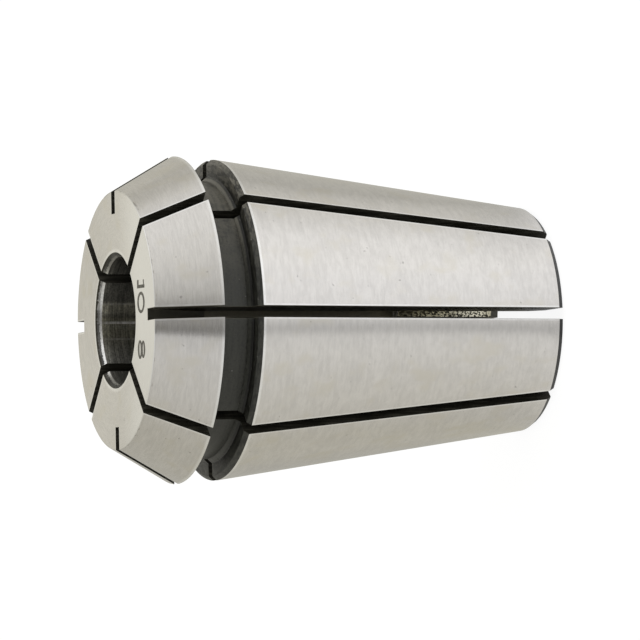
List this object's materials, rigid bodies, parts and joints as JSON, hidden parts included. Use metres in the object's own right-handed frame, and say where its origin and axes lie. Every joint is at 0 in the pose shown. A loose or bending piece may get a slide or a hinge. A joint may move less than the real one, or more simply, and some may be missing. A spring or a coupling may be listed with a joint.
{
  "type": "er collet",
  "caption": "Slotted steel tapping collet with a ground taper, an extraction groove, a coned head, a round clamping bore and a square socket at the rear that drives a tap's shank.",
  "frame": {"origin": "centre of the rear face, on the collet's axis", "axes": "+Z along the axis from the rear face towards the head and the front face; X and Y lie square to the flats of the socket, each through a pair of the slots that open at the rear"},
  "size_m": [0.0258, 0.0258, 0.0344],
  "materials": {
    "ground_steel": "fine ground on the cone, the taper and the face, blackened in the groove and the slots",
    "etched_mark": "dark etched numerals"
  },
  "bodies": {
    "root": {"collet": "ground_steel"}
  },
  "joints": []
}
